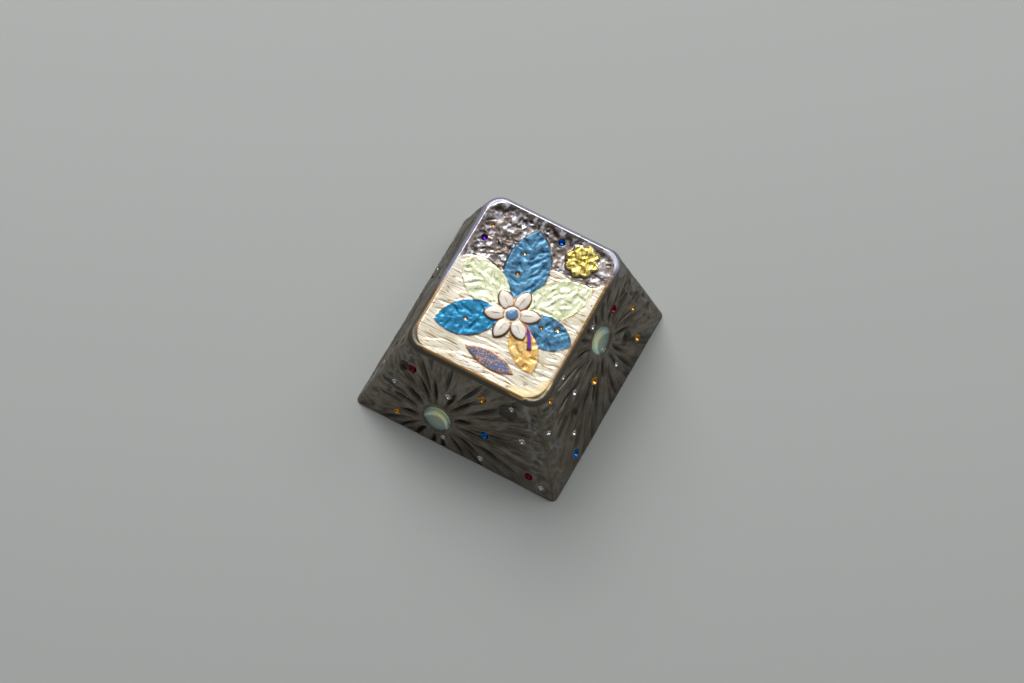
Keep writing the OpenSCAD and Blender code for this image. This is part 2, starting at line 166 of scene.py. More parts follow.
# Finishes of the dimples, in the order of their numbers
DOT_COLOURS = {
    "silver": (0.86, 0.86, 0.86), "gold": (0.78, 0.42, 0.08), "blue": (0.014, 0.20, 0.62),
    "red": (0.26, 0.018, 0.03), "purple": (0.16, 0.03, 0.45), "cream": (0.86, 0.80, 0.62)}


def half_w(z):
    """Half the body's width at height z."""
    return BASE / 2 - z * SIDE_RUN


def y_front(z):
    """Front edge of the body at height z."""
    return -BASE / 2 + z * FRONT_RUN


def y_back(z):
    """Back edge of the body at height z."""
    return BASE / 2 - z * BACK_RUN


def corner_r(z):
    """Corner radius of the body at height z."""
    return BASE_R + (TOP_R - BASE_R) * z / MID_H


def smooth(low, high, value):
    """Rises from 0 at low to 1 at high with level ends: 3t squared less 2t cubed."""
    t = np.clip((value - low) / (high - low), 0, 1)
    return t * t * (3 - 2 * t)


def noise(points, cell, seed):
    """Random field from -1 to 1: a value for each corner of a lattice, blended across each cell."""
    p = points / cell
    base = np.floor(p).astype(np.int64)
    t = p - base
    t = t * t * t * (t * (6 * t - 15) + 10)
    total = np.zeros(p.shape[:-1])
    for corner in np.ndindex(2, 2, 2):
        index = base + np.array(corner)
        mixed = (index[..., 0] * 73856093 ^ index[..., 1] * 19349663
                 ^ index[..., 2] * 83492791 ^ seed * 2654435)
        mixed = (mixed ^ (mixed >> 13)) * 1274126177 & 0x7FFFFFFF
        weight = np.prod(np.where(corner, t, 1 - t), axis=-1)
        total += weight * ((mixed ^ (mixed >> 16)) / 0x3FFFFFFF - 1)
    return total


def uneven(i, k):
    """Repeatable unevenness between -1 and 1: the sine of a mix of both numbers."""
    return math.sin(math.radians(i * 79 + k * 151))


def carve(x, y, marks, pointed=True):
    """Depth cut by gouges (x, y, angle, length, width, depth) about their middles; the deepest wins.
    A pointed gouge narrows as 1 less u squared to both ends and its floor is a parabola across;
    a round one is a paraboloid over an ellipse."""
    depth = np.zeros_like(x)
    for cx, cy, angle, length, width, deep in marks:
        u = ((x - cx) * math.cos(angle) + (y - cy) * math.sin(angle)) / (length / 2)
        v = ((y - cy) * math.cos(angle) - (x - cx) * math.sin(angle)) / (width / 2)
        near = (np.abs(u) < 1) & (np.abs(v) < 1)
        plan = 1 - u[near] ** 2
        if pointed:
            cut = plan * (1 - (v[near] / np.maximum(plan, 0.02)) ** 2)
        else:
            cut = plan - v[near] ** 2
        depth[near] = np.maximum(depth[near], deep * cut)
    return depth


def bowl(distance, radius, deep):
    """Depth of a ball-shaped hollow at a distance from its middle."""
    ball = (radius ** 2 + deep ** 2) / (2 * deep)
    return np.where(distance < radius, np.sqrt(np.maximum(ball ** 2 - distance ** 2, 0)) - (ball - deep), 0)


# Columns run round the body from the front left corner, counter-clockwise seen from above
steps = [NX, NY, NX, NY]
SIDE = np.repeat([FRONT, RIGHT, BACK, LEFT], steps)[None, :]
TAU = np.concatenate([2 * np.arange(n) / n - 1 for n in steps])[None, :]


def outline(half_x, half_y, radius, side=SIDE, tau=TAU):
    """Points on a rectangle with round corners. tau runs along a side from -1 to 1, from the middle of
    one corner's arc to the middle of the next, in proportion to arc length. Gives x, y and that length."""
    half_along = np.where(side % 2 == 0, half_x, half_y)
    half_out = np.where(side % 2 == 0, half_y, half_x)
    straight = half_along - radius
    arc = tau * (straight + radius * math.pi / 4)
    turn = np.clip(np.abs(arc) - straight, 0, None) / np.maximum(radius, 1e-6)
    along = np.sign(arc) * (np.minimum(np.abs(arc), straight) + radius * np.sin(turn))
    out = half_out - radius * (1 - np.cos(turn))
    angle = side * math.pi / 2
    return along * np.cos(angle) + out * np.sin(angle), along * np.sin(angle) - out * np.cos(angle), arc


def body_ring(z_front, z_back, inset=0.0, more_radius=0.0):
    """Rings of the tapered body in planes that pass z_front in front and z_back behind."""
    z_front, z_back = np.atleast_1d(z_front)[:, None], np.atleast_1d(z_back)[:, None]
    inset = np.atleast_1d(inset)[:, None]
    z_mid = (z_front + z_back) / 2
    lo, hi = y_front(z_front) + inset, y_back(z_back) - inset
    radius = np.maximum(corner_r(z_mid) - inset + more_radius, 0.2)
    x, y, arc = outline(half_w(z_mid) - inset, (hi - lo) / 2, radius)
    middle = (lo + hi) / 2
    y = y + middle
    z = z_front + (y - y_front(z_front)) * (z_back - z_front) / (y_back(z_back) - y_front(z_front))
    x = x * (half_w(z) - inset) / (half_w(z_mid) - inset)
    shift = middle * np.array([0, 1, 0, -1])[SIDE]
    return np.stack([x, y, z], axis=-1), arc + shift


def flat_ring(half, radius, z):
    """One level ring, square with round corners."""
    x, y, _ = outline(half, half, radius)
    return np.stack([x, y, np.full_like(x, z)], axis=-1)


def inner_rings():
    """Rings from the stem's pocket out over the roof, down the inside and across the rim."""
    thick = WALL / math.cos(math.atan(SIDE_RUN))
    roof_fillet = 0.25
    rings = [flat_ring(FLANGE / 2, 0.05, ROOF_Z + FLANGE_T), flat_ring(FLANGE / 2, 0.05, ROOF_Z),
             flat_ring(FLANGE / 2 + 0.06, 0.11, ROOF_Z)]
    for turn in np.radians([0, 30, 60, 90]):
        z = ROOF_Z - roof_fillet * (1 - math.cos(turn))
        inset = thick + roof_fillet * (1 - math.sin(turn))
        rings.append(body_ring(z, z, inset)[0])
    more = INNER_R + thick - BASE_R
    for z in np.linspace(ROOF_Z - 0.9, 0.2, 5):
        rings.append(body_ring(z, z, thick, more * (1 - z / ROOF_Z))[0])
    for turn in np.radians([0, 45, 90]):
        z = 0.1 * (1 - math.sin(turn))
        rings.append(body_ring(z, z, thick - 0.1 * (1 - math.cos(turn)), more)[0])
    return np.concatenate(rings)


def flute_marks(side, rng):
    """Gouges that run out from a crater like rays: the main ones in turn long and short, wider ones
    between them further out, then many fine ones in bands, so that the spacing stays even."""
    cx, cy = CRATERS[side]
    start = BOWL_R + LIP_W - 0.12
    step = 360 / FLUTES
    rays = []
    for i in range(FLUTES):
        angle = math.radians((i + 0.25 * uneven(i, 1)) * step + 3)
        begin = start if i % 2 == 0 else start + 1 + 0.3 * uneven(i, 2)
        length = 3.2 + uneven(i, 3) if i % 2 == 0 else 5.5
        rays.append((angle, begin, length, FLUTE_W * (1 + 0.15 * uneven(i, 4)), FLUTE_D))
        angle = math.radians((i + 0.5 + 0.2 * uneven(i, 5)) * step + 3)
        begin = OUTER_FROM + (0 if i % 2 == 0 else 1.1) + 0.5 * uneven(i, 6)
        rays.append((angle, begin, 4.6 + uneven(i, 7), OUTER_W * (1 + 0.15 * uneven(i, 8)), OUTER_D))
    for count, begin, spread, length, width, deep in FINE_BANDS:
        turns = (np.arange(count) + rng.uniform(-0.4, 0.4, count)) * 2 * math.pi / count
        for turn in turns:
            rays.append((turn, begin + spread * rng.uniform(-0.5, 0.5), length * rng.uniform(0.5, 1.3),
                         width * rng.uniform(0.5, 1.2), deep * rng.uniform(0.4, 1.1)))
    marks = []
    for angle, begin, length, width, deep in rays:
        middle = begin + length / 2
        marks.append((cx + middle * math.cos(angle), cy + middle * math.sin(angle),
                      angle + rng.uniform(-0.05, 0.05), length, width, deep))
    return marks


def pit_marks(side):
    """Uneven rows of round pits beside both upright edges of a side."""
    low_run, high_run = RUNS[side - 1], RUNS[(side + 1) % 4]
    upright = math.cos(math.atan(RUNS[side]))
    height = (BACK_H if side == BACK else FRONT_H) / upright
    marks = []
    for k in range(math.floor((height - 1.6) / PIT_PITCH) + 1):
        y = 0.8 + k * PIT_PITCH
        for end, run in ((-1, low_run), (1, high_run)):
            inset = 1.2 + 0.45 * math.sin(math.radians((k + 3 * end) * 79 + CRATERS[side][0] * 151))
            size = 1 + 0.2 * uneven(k, 9 + end)
            marks.append((end * (BASE / 2 - run * upright * y - inset), y, 0,
                          2 * PIT_R * size, 2 * PIT_R * size, PIT_DEPTH * size))
    return marks


def nearest_dot(x, y, dots):
    """Offset from the nearest dimple's middle in units of its radius, the number of its finish, and
    the distance outside its edge."""
    kinds = list(DOT_COLOURS)
    best = np.full(x.shape, FAR)
    dx, dy, kind = np.full(x.shape, FAR), np.full(x.shape, FAR), np.zeros(x.shape)
    for px, py, radius, finish in dots:
        near = np.hypot(x - px, y - py) - radius
        closer = near < best
        best = np.where(closer, near, best)
        dx = np.where(closer, (x - px) / radius, dx)
        dy = np.where(closer, (y - py) / radius, dy)
        kind = np.where(closer, kinds.index(finish), kind)
    return dx, dy, kind, best


def side_field(points, arc):
    """Depth below the smooth sides, and what the shader needs: the nearest dimple, the direction
    from the crater and the distance to it, how deep in a groove a point is (weighted up near the crater
    and over the dishes, for painted shade), and the veins that carry a painted pale sheen.
    Dishes wear the flutes away, and each dimple is a bowl in a levelled seat."""
    shape = points.shape[:2]
    keep = {name: np.zeros(shape) for name in SHADER_VALUES}
    depth = np.zeros(shape)
    for side in range(4):
        cols = SIDE[0] == side
        rng = np.random.default_rng(40 + side)
        x = arc[:, cols]
        y = points[:, cols, 2] / math.cos(math.atan(RUNS[side]))
        at = np.stack([x, y, np.full_like(x, 10.0 * side)], axis=-1)
        wave_x = x + 0.10 * noise(at, 1.9, 3) + 0.03 * noise(at, 0.6, 5)
        wave_y = y + 0.10 * noise(at, 1.9, 4) + 0.03 * noise(at, 0.6, 6)
        cx, cy = CRATERS[side]
        out = np.hypot(x - cx, y - cy)
        edge = np.abs(TAU[:, cols])
        ground = smooth(BOWL_R + LIP_W - 0.06, BOWL_R + LIP_W + 0.3, out)
        corner = smooth(0.64, 0.86, edge) * ground
        cut = carve(wave_x, wave_y, flute_marks(side, rng)) * ground
        pits = carve(x, y, pit_marks(side), False)
        fine = np.zeros_like(x)
        for low, high in ((-9.0, -5.0), (5.0, 9.0)):
            fine = np.maximum(fine, chips(wave_x, wave_y, rng, 90, ((low, 0.6), (high, 8.6)), 0, 3.2,
                                          0.5, 0.34, 0.15, False))
        veins = 1 - np.minimum(np.abs(noise(at, 0.95, 31)) * 4, 1)
        pebbles = 0.08 * noise(at, 0.9, 21) + 0.05 * noise(at, 0.42, 22)
        cut = np.maximum(cut * (1 - 0.5 * corner), fine * corner) - corner * (0.05 * veins + pebbles)
        cut = np.maximum(cut, pits * ground)
        cut = cut - 0.04 * noise(at, 2.6, 24) * ground
        in_dish = np.zeros_like(x)
        for px, py, radius in DISHES[side]:
            near = np.hypot(x - px, y - py)
            worn = smooth(1.15 * radius, 0.9 * radius, near)
            cut = cut * (1 - worn) + (0.04 + 0.25 * cut + bowl(near, radius, DISH_DEPTH)) * worn
            in_dish = np.maximum(in_dish, worn)
        cut = cut * (1 - smooth(0.94, 0.995, edge))
        for px, py, radius, _ in DIMPLES[side]:
            near = np.hypot(x - px, y - py)
            seat = smooth(1.6 * radius, 1.05 * radius, near)
            level = np.sum(cut * seat) / np.sum(seat)
            cut = cut * (1 - seat) + level * seat + bowl(near, radius, radius * DIMPLE_BOWL)
        # Painted shade: the groove value that the shader darkens is weighted up near the crater and across
        # the dishes
        near_crater = 0.4 + 0.6 * smooth(8.0, 2.4, out)
        groove = np.clip(np.maximum(cut / FLUTE_D * near_crater, 0.62 * in_dish), 0, 1) * ground
        lip = LIP_H * np.clip((BOWL_R + LIP_W - out) / LIP_W, 0, 1)
        cut = np.where(out < BOWL_R + LIP_W, lip + bowl(out, BOWL_R, BOWL_DEPTH), cut)
        cut = cut - 0.04 * np.exp(-((out - BOWL_R - LIP_W) / 0.16) ** 2)
        depth[:, cols] = cut
        dots = nearest_dot(x, y, DIMPLES[side])
        # Mask of the raised veins, which the shader paints with a pale sheen
        veins = veins * corner * (1 - smooth(0.93, 0.99, edge)) * (1 - in_dish)
        values = (*dots, (wave_x - cx) / out, (wave_y - cy) / out, out, groove, veins)
        for name, value in zip(keep, values):
            keep[name][:, cols] = value
    return depth, keep


def top_grid():
    """Points inside the face as nested outlines that shrink to the middle, their corners turning
    sharper with the cube of the share. Gives the points and, for the edge, the matching columns."""
    i, j = np.meshgrid(np.arange(NX + 1), np.arange(NY + 1))
    s, t = 2 * i / NX - 1, 2 * j / NY - 1
    share = np.maximum(np.abs(s), np.abs(t))
    side = np.select([-t >= share, s >= share, t >= share], [FRONT, RIGHT, BACK], LEFT)
    tau = np.select([side == FRONT, side == RIGHT, side == BACK], [s, t, -s], -t) / np.maximum(share, 1e-9)
    lo, hi = y_front(FRONT_H) + BEVEL, y_back(BACK_H) - BEVEL
    radius = (corner_r(MID_H) - BEVEL) * share ** 3
    x, y, _ = outline((half_w(MID_H) - BEVEL) * share, (hi - lo) / 2 * share, radius, side, tau)
    y = y + (lo + hi) / 2
    z = FRONT_H + (y - y_front(FRONT_H)) * (BACK_H - FRONT_H) / (y_back(BACK_H) - y_front(FRONT_H))
    x = x * (half_w(z) - BEVEL) / (half_w(MID_H) - BEVEL)
    column = np.select([side == FRONT, side == RIGHT, side == BACK], [i, NX + j, 2 * NX + NY - i],
                       2 * NX + 2 * NY - j) % (2 * NX + 2 * NY)
    return np.stack([x, y, z], axis=-1), share, column


def leaf_edge(x, y, at, angle, gap, length, width):
    """Distance outside a leaf between two arcs, its stalk end a gap away from a point."""
    turn = math.radians(angle)
    u = (x - at[0]) * math.cos(turn) + (y - at[1]) * math.sin(turn) - gap - length / 2
    v = (y - at[1]) * math.cos(turn) - (x - at[0]) * math.sin(turn)
    arc_r = (length ** 2 + width ** 2) / (4 * width)
    return np.maximum(np.hypot(u, v - arc_r + width / 2), np.hypot(u, v + arc_r - width / 2)) - arc_r


def outside_box(x, y, half, radius):
    """Distance outside a rectangle with round corners, negative inside it."""
    qx, qy = np.abs(x) - half[0] + radius, np.abs(y) - half[1] + radius
    return np.hypot(np.maximum(qx, 0), np.maximum(qy, 0)) + np.minimum(np.maximum(qx, qy), 0) - radius


def ground_line(x):
    """Height on the face of the line between the dark and the pale ground."""
    return 2.6 + 0.28 * x + 0.45 * np.sin(np.radians(62 * x))


def chips(x, y, rng, count, box, heading, turn, length, width, deep, pointed=True):
    """Random tool marks over a box, each within a turn of the heading, sizes between half and full."""
    (x0, y0), (x1, y1) = box
    marks = np.stack([rng.uniform(x0, x1, count), rng.uniform(y0, y1, count),
                      math.radians(heading) + rng.uniform(-turn, turn, count),
                      length * rng.uniform(0.5, 1, count), width * rng.uniform(0.5, 1, count),
                      deep * rng.uniform(0.4, 1, count)], axis=1)
    return carve(x, y, marks, pointed)


def leaf_marks():
    """Slanted gouges in two rows along each leaf."""
    marks = []
    for angle, length, width, _ in LEAVES:
        turn = math.radians(angle)
        for k in range(2 * math.floor(length / 1.15)):
            row = 1 if k % 2 == 0 else -1
            u = 1.1 + 0.52 * k
            half = width / 2 * (1 - (2 * u / length - 1) ** 2)
            if half <= 0.45:
                continue
            long = min(1.15 * half, 1.5)
            slant = math.radians(row * (55 + 9 * math.sin(math.radians(k * 79 + length * 151))))
            px = LEAF_GAP + u - 0.3 + long / 2 * math.cos(slant)
            py = row * 0.1 + long / 2 * math.sin(slant)
            marks.append((FLOWER[0] + px * math.cos(turn) - py * math.sin(turn),
                          FLOWER[1] + px * math.sin(turn) + py * math.cos(turn),
                          turn + slant, long, CHIP_W, CHIP_D))
    return marks


def hammer_marks():
    """Round dents in rows over the dark ground, wherever one has room, and seven in the gold flower."""
    half = np.array([TOP_W / 2, TOP_D / 2]) - BEVEL - RIM - MARK_R
    marks = []
    for i in range(-math.floor(half[0] / MARK_PITCH), math.floor(half[0] / MARK_PITCH) + 1):
        for j in range(5):
            px = i * MARK_PITCH + 0.3 * uneven(i, j)
            py = half[1] - 0.2 - j * MARK_PITCH + 0.25 * uneven(j, i)
            on_leaf = min(leaf_edge(px, py, FLOWER, a, LEAF_GAP, l, w) for a, l, w, _ in LEAVES)
            from_gold = math.dist((px, py), GOLD[:2]) - GOLD[2]
            if (abs(px) < half[0] and py < half[1] and py > ground_line(px) + MARK_R
                    and on_leaf > MARK_R + 0.15 and from_gold > MARK_R + 0.2):
                marks.append((px, py, 0, 2 * MARK_R, 2 * MARK_R, MARK_DEPTH))
    marks.append((*GOLD[:2], 0, 2 * MARK_R, 2 * MARK_R, MARK_DEPTH))
    for k in range(6):
        turn = math.radians(60 * k + 12 * uneven(k, 1))
        size = 2 * MARK_R * (0.9 + 0.1 * uneven(k, 2))
        marks.append((GOLD[0] + 0.56 * GOLD[2] * math.cos(turn), GOLD[1] + 0.56 * GOLD[2] * math.sin(turn),
                      0, size, size, MARK_DEPTH))
    return marks


def face_field(x, y):
    """Height of the carved face over its plane, and the distance to the edge of each finish."""
    rng = np.random.default_rng(7)
    edges = {name: np.full(x.shape, FAR) for name in FINISHES}
    half = np.array([TOP_W / 2 - BEVEL - RIM - 0.1, TOP_D / 2 - BEVEL - RIM])
    field = outside_box(x, y, half, FACE_R - RIM)
    night = (ground_line(x) - y) * 0.95
    wall = 0.05
    dark = smooth(wall, -wall, night)
    height = -smooth(0.30, -1.0, field) * (PALE_DEPTH * 0.4 + (DARK_DEPTH * 0.75 - PALE_DEPTH * 0.4) * dark)
    at = np.stack([x, y, np.zeros_like(x)], axis=-1)
    wave_x, wave_y = x + 0.12 * noise(at, 1.1, 11), y + 0.12 * noise(at, 1.1, 12)
    dents = carve(x, y, hammer_marks(), False)
    behind = ((-6, 1), (6, 7))
    blows = chips(wave_x, wave_y, rng, 240, behind, 0, 3.2, 1.1, 0.75, 0.11, False)
    blows = np.maximum(blows, chips(wave_x, wave_y, rng, 200, behind, 0, 3.2, 0.45, 0.34, 0.12, False))
    blows = np.maximum(blows, dents)
    blows = np.maximum(blows, chips(x, wave_y, rng, 60, ((-6, 1), (6, 5)), 8, 0.3, 2.4, 0.2, 0.1))
    rows = chips(x, wave_y, rng, 90, ((-6, -7), (6, 4)), 6, 0.13, 4.2, 0.3, 0.06)
    swells = chips(x, wave_y, rng, 90, ((-6, -7), (6, 4)), 6, 0.3, 3.6, 0.7, 0.03)
    texture = dark * blows + (1 - dark) * np.maximum(rows, swells)
    edges["night"] = night
    edges["cream"] = -night
    # groove: how deep a point lies in a line or dent, which the shader darkens as painted shade
    groove = (1 - dark) * rows / 0.09
    slants = carve(wave_x, wave_y, leaf_marks())
    whole = ((-6, -7), (6, 7))
    for angle, length, width, finish in LEAVES:
        edge = leaf_edge(x, y, FLOWER, angle, LEAF_GAP, length, width)
        on = smooth(wall, -wall, edge)
        if finish in ("pale", "orange"):
            facets = chips(wave_x, wave_y, rng, 320, whole, angle + 20, 0.6, 2.0, 0.75, 0.07)
            lines = chips(wave_x, wave_y, rng, 160, whole, angle + 12, 0.4, 1.6, 0.3, 0.06)
        else:
            facets = chips(wave_x, wave_y, rng, 420, whole, angle - 35, 0.7, 1.0, 0.5, 0.045)
            lines = chips(wave_x, wave_y, rng, 700, whole, angle - 50, 0.8, 0.7, 0.34, 0.05)
        height = height * (1 - on)
        texture = texture * (1 - on) + on * np.maximum(np.maximum(facets, lines), slants * 0.7)
        groove = groove * (1 - on) + on * np.maximum(lines / 0.09, slants / CHIP_D * 0.2)
        for other in ("pale", "steel_blue", "sky_blue", "orange", "night", "cream"):
            edges[other] = np.maximum(edges[other], -edge)
        edges[finish] = np.minimum(edges[finish], edge)
    gx, gy, radius = GOLD
    disc = np.hypot(x - gx, y - gy) - radius * 0.8
    for k in range(GOLD_LOBES):
        turn = 2 * math.pi * k / GOLD_LOBES
        lobe = (gx + 0.72 * radius * math.cos(turn), gy + 0.72 * radius * math.sin(turn))
        disc = np.minimum(disc, np.hypot(x - lobe[0], y - lobe[1]) - radius * 0.3)
    on = smooth(wall, -wall, disc)
    dents = np.maximum(dents, chips(wave_x, wave_y, rng, 46, ((gx - 1.5, gy - 1.5), (gx + 1.5, gy + 1.5)),
                                    0, 3.2, 0.8, 0.5, 0.12, False))
    height = height * (1 - on)
    texture = texture * (1 - on) + on * dents
    groove = groove * (1 - on) + on * dents * 5
    edges["gold"] = disc
    pod = leaf_edge(x, y, POD[:2], POD[4], -POD[2] / 2, POD[2], POD[3])
    ring, band, sweep = TENDRIL
    from_middle = np.hypot(x - FLOWER[0], y - FLOWER[1] + ring)
    bearing = np.degrees(np.arctan2(x - FLOWER[0], y - FLOWER[1] + ring))
    ends = np.maximum(-bearing, bearing - sweep) * math.pi / 180 * ring
    tendril = np.maximum(np.abs(from_middle - ring) - band / 2, ends)
    petal = np.full(x.shape, FAR)
    vein = np.full(x.shape, FAR)
    for k in range(PETALS):
        angle = k * 360 / PETALS + 20
        one = leaf_edge(x, y, FLOWER, angle, EYE_R / 2, *PETAL)
        petal = np.minimum(petal, one)
        vein = np.minimum(vein, leaf_edge(x, y, FLOWER, angle, EYE_R, PETAL[0] * 0.6, 0.09))
    eye = np.hypot(x - FLOWER[0], y - FLOWER[1]) - EYE_R
    for edge, rise in ((pod, 0.0), (tendril, 0.04), (np.minimum(petal, eye), PETAL_RISE)):
        on = smooth(wall, -wall, edge)
        height = height * (1 - on) + on * rise
        texture = texture * (1 - on)
        groove = groove * (1 - on)
    height = height + 0.06 * np.sqrt(np.clip(-petal / 0.5, 0, 1)) * smooth(-0.1, 0.1, eye)
    height = height + 0.1 * np.sqrt(np.clip(-(eye + 0.2) / 0.5, 0, 1))
    flower = np.minimum(petal, eye)
    edges["slate"] = pod
    edges["purple"] = np.maximum(tendril, -flower)
    edges["petal"] = flower
    edges["eye"] = eye + 0.24
    outline_w = 0.06
    leaves = np.minimum.reduce([leaf_edge(x, y, FLOWER, a, LEAF_GAP, l, w) for a, l, w, _ in LEAVES])
    edges["bronze"] = np.minimum.reduce([
        np.maximum(np.abs(petal) - outline_w, -eye), np.abs(eye + 0.03) - 0.05, np.abs(eye + 0.24) - 0.04,
        np.maximum(vein, -eye), np.maximum(np.abs(tendril) - 0.05, -flower), np.abs(pod) - outline_w,
        np.maximum(np.abs(leaves) - 0.035, -np.minimum(flower, pod))])
    for px, py, radius, _ in FACE_DOTS:
        near = np.hypot(x - px, y - py)
        height = height - bowl(near, radius, radius * 0.6)
        texture = np.where(near < radius, 0, texture)
    texture = texture * smooth(0.2, -0.5, field)
    height = height - 0.6 * np.clip(outside_box(x, y, half + RIM, FACE_R), 0, 0.4)
    return height - texture, edges, np.clip(groove, 0, 1)


def add_mesh(name, points, quads, triangles=()):
    """Puts points in millimetres and faces into a new smooth-shaded object."""
    mesh = bpy.data.meshes.new(name)
    faces = quads.tolist() + [list(t) for t in triangles]
    mesh.from_pydata((points * MM).tolist(), [], faces)
    mesh.shade_smooth()
    mesh.update()
    piece = bpy.data.objects.new(name, mesh)
    bpy.context.scene.collection.objects.link(piece)
    return piece


def set_attribute(piece, name, values):
    """Stores one number for each vertex."""
    layer = piece.data.attributes.new(name, "FLOAT", "POINT")
    layer.data.foreach_set("value", np.ascontiguousarray(values, dtype=np.float32))


def ring_normals(points):
    """Outward normals of rings of points: along the columns crossed with up the rows."""
    along = np.roll(points, -1, axis=1) - np.roll(points, 1, axis=1)
    up = np.gradient(points, axis=0)
    normal = np.cross(along, up)
    return normal / np.linalg.norm(normal, axis=-1, keepdims=True)


def build_body():
    """The whole metal body as one closed mesh: rings from the stem's pocket to the bevel, then the face."""
    inner = inner_rings()
    share = np.linspace(0, 1, N_UP)
    share[1:3] = 0.004, 0.011
    foot = np.zeros(N_UP)
    foot[:2] = 0.09, 0.03
    sides, arc = body_ring(share * (FRONT_H - BEVEL), share * (BACK_H - BEVEL), foot)
    turns = np.radians([18, 36, 54, 72, 90])
    rise = BEVEL * (np.sin(turns) + 1 - np.cos(turns)) / 2
    bow = 0.055 * np.sin(2 * turns)
    bevel, _ = body_ring(FRONT_H - BEVEL + rise, BACK_H - BEVEL + rise, np.clip(rise - bow, 0, BEVEL))
    outer = np.concatenate([sides, bevel])
    normal = ring_normals(outer)
    depth, keep = side_field(sides, arc)
    depth = depth * smooth(1.0, 0.975, share)[:, None] * smooth(0.0, 0.02, share)[:, None]
    shift = np.concatenate([-depth, np.zeros(bevel.shape[:2])])
    outer = outer + normal * shift[..., None]

    tops, ring_share, column = top_grid()
    tilt = math.atan(SLOPE)
    x = tops[..., 0]
    y = (tops[..., 1] - TOP_SHIFT) * math.cos(tilt) + (tops[..., 2] - MID_H) * math.sin(tilt)
    height, edges, groove = face_field(x, y)
    tops = tops + height[..., None] * np.array([0, -math.sin(tilt), math.cos(tilt)])

    columns = 2 * (NX + NY)
    rings = np.concatenate([inner, outer])
    count = len(rings)
    within = ring_share < 1
    ids = np.empty(ring_share.shape, dtype=np.int64)
    ids[~within] = (count - 1) * columns + column[~within]
    ids[within] = count * columns + np.arange(within.sum())
    hub = count * columns + within.sum()
    points = np.concatenate([rings.reshape(-1, 3), tops[within], [[0, 0, ROOF_Z + FLANGE_T]]])
    grid = np.arange(count * columns).reshape(count, columns)
    after = np.roll(grid, -1, axis=1)
    walls = np.stack([grid[:-1], after[:-1], after[1:], grid[1:]], axis=-1).reshape(-1, 4)
    lid = np.stack([ids[:-1, :-1], ids[:-1, 1:], ids[1:, 1:], ids[1:, :-1]], axis=-1).reshape(-1, 4)
    fan = np.stack([np.full(columns, hub), after[0], grid[0]], axis=-1)
    body = add_mesh("carved_body", points, np.concatenate([walls, lid]), fan)

    def spread(on_sides, on_face, elsewhere):
        """One value for each vertex, from those on the sides and on the face."""
        rows = np.full((count, columns), elsewhere)
        rows[len(inner):len(inner) + N_UP] = on_sides
        rows[len(inner) + N_UP:, column[~within]] = on_face[~within]
        return np.concatenate([rows.reshape(-1), on_face[within], [elsewhere]])

    for name in FINISHES:
        set_attribute(body, name, spread(FAR, edges[name], FAR))
    dots = nearest_dot(x, y, FACE_DOTS)
    on_face = (*dots, y * 0.12, 0 * x, 4.5 + 0.4 * x, groove, 0 * x)
    for (name, values), value in zip(keep.items(), on_face):
        set_attribute(body, name, spread(values, value, FAR if name[:4] == "dot_" else 0.0))
    to_edge = -outside_box(x, y, (half_w(MID_H) - BEVEL, TOP_D / 2 - BEVEL), FACE_R)
    edge_w = 0.42
    inwards = np.full((count, columns), -FAR)
    inwards[len(inner):] = -np.concatenate([edge_w + (1 - share) * 8, edge_w * (1 - np.sin(turns))])[:, None]
    inwards[len(inner):, column[~within]] += np.minimum(to_edge[~within], 0)
    set_attribute(body, "inwards", np.concatenate([inwards.reshape(-1), to_edge[within], [-FAR]]))
    set_attribute(body, "inside", (np.arange(len(points)) < (len(inner) - 2) * columns) * 2.0 - 1.0)
    return body


def add_ramp(tree, stops, factor, steps=False):
    """Adds a colour ramp, smooth or in steps."""
    wire = add_node(tree, "ShaderNodeValToRGB", {}, {"Fac": factor}, "Color")
    ramp = wire.socket.node.color_ramp
    ramp.interpolation = "CONSTANT" if steps else "LINEAR"
    while len(ramp.elements) < len(stops):
        ramp.elements.new(0.5)
    for element, (place, colour) in zip(ramp.elements, stops):
        element.position = place
        element.color = (*colour, 1)
    return wire


class Wire:
    """One output of a shader tree. Sums and products of it add Math nodes."""

    def __init__(self, tree, socket):
        self.tree = tree
        self.socket = socket

    def math(self, operation, *values, clamp=False):
        settings = {"operation": operation, "use_clamp": clamp}
        return add_node(self.tree, "ShaderNodeMath", settings, dict(enumerate(values)))

    def __add__(self, other):
        return self.math("ADD", self, other)

    def __radd__(self, other):
        return self.math("ADD", other, self)

    def __sub__(self, other):
        return self.math("SUBTRACT", self, other)

    def __rsub__(self, other):
        return self.math("SUBTRACT", other, self)

    def __mul__(self, other):
        return self.math("MULTIPLY", self, other)

    def __rmul__(self, other):
        return self.math("MULTIPLY", other, self)

    def within(self, low, high):
        """0 at low or less, 1 at high or more."""
        span = 1 / (high - low)
        return self.math("MULTIPLY_ADD", self, span, -low * span, clamp=True)


def add_node(tree, kind, settings, inputs, out=0):
    """Adds a node, sets its settings, then fills its inputs with values or wires."""
    node = tree.nodes.new(kind)
    for name, value in settings.items():
        setattr(node, name, value)
    for key, value in inputs.items():
        socket = node.inputs[key]
        if isinstance(value, Wire):
            tree.links.new(value.socket, socket)
        elif isinstance(value, tuple) and len(value) == 3 and socket.type == "RGBA":
            socket.default_value = (*value, 1)
        else:
            socket.default_value = value
    return Wire(tree, node.outputs[out])


def mix(mask, under, over):
    """Lays one colour over another where the mask is 1."""
    return add_node(mask.tree, "ShaderNodeMix", {"data_type": "RGBA"}, {0: mask, 6: under, 7: over}, 2)


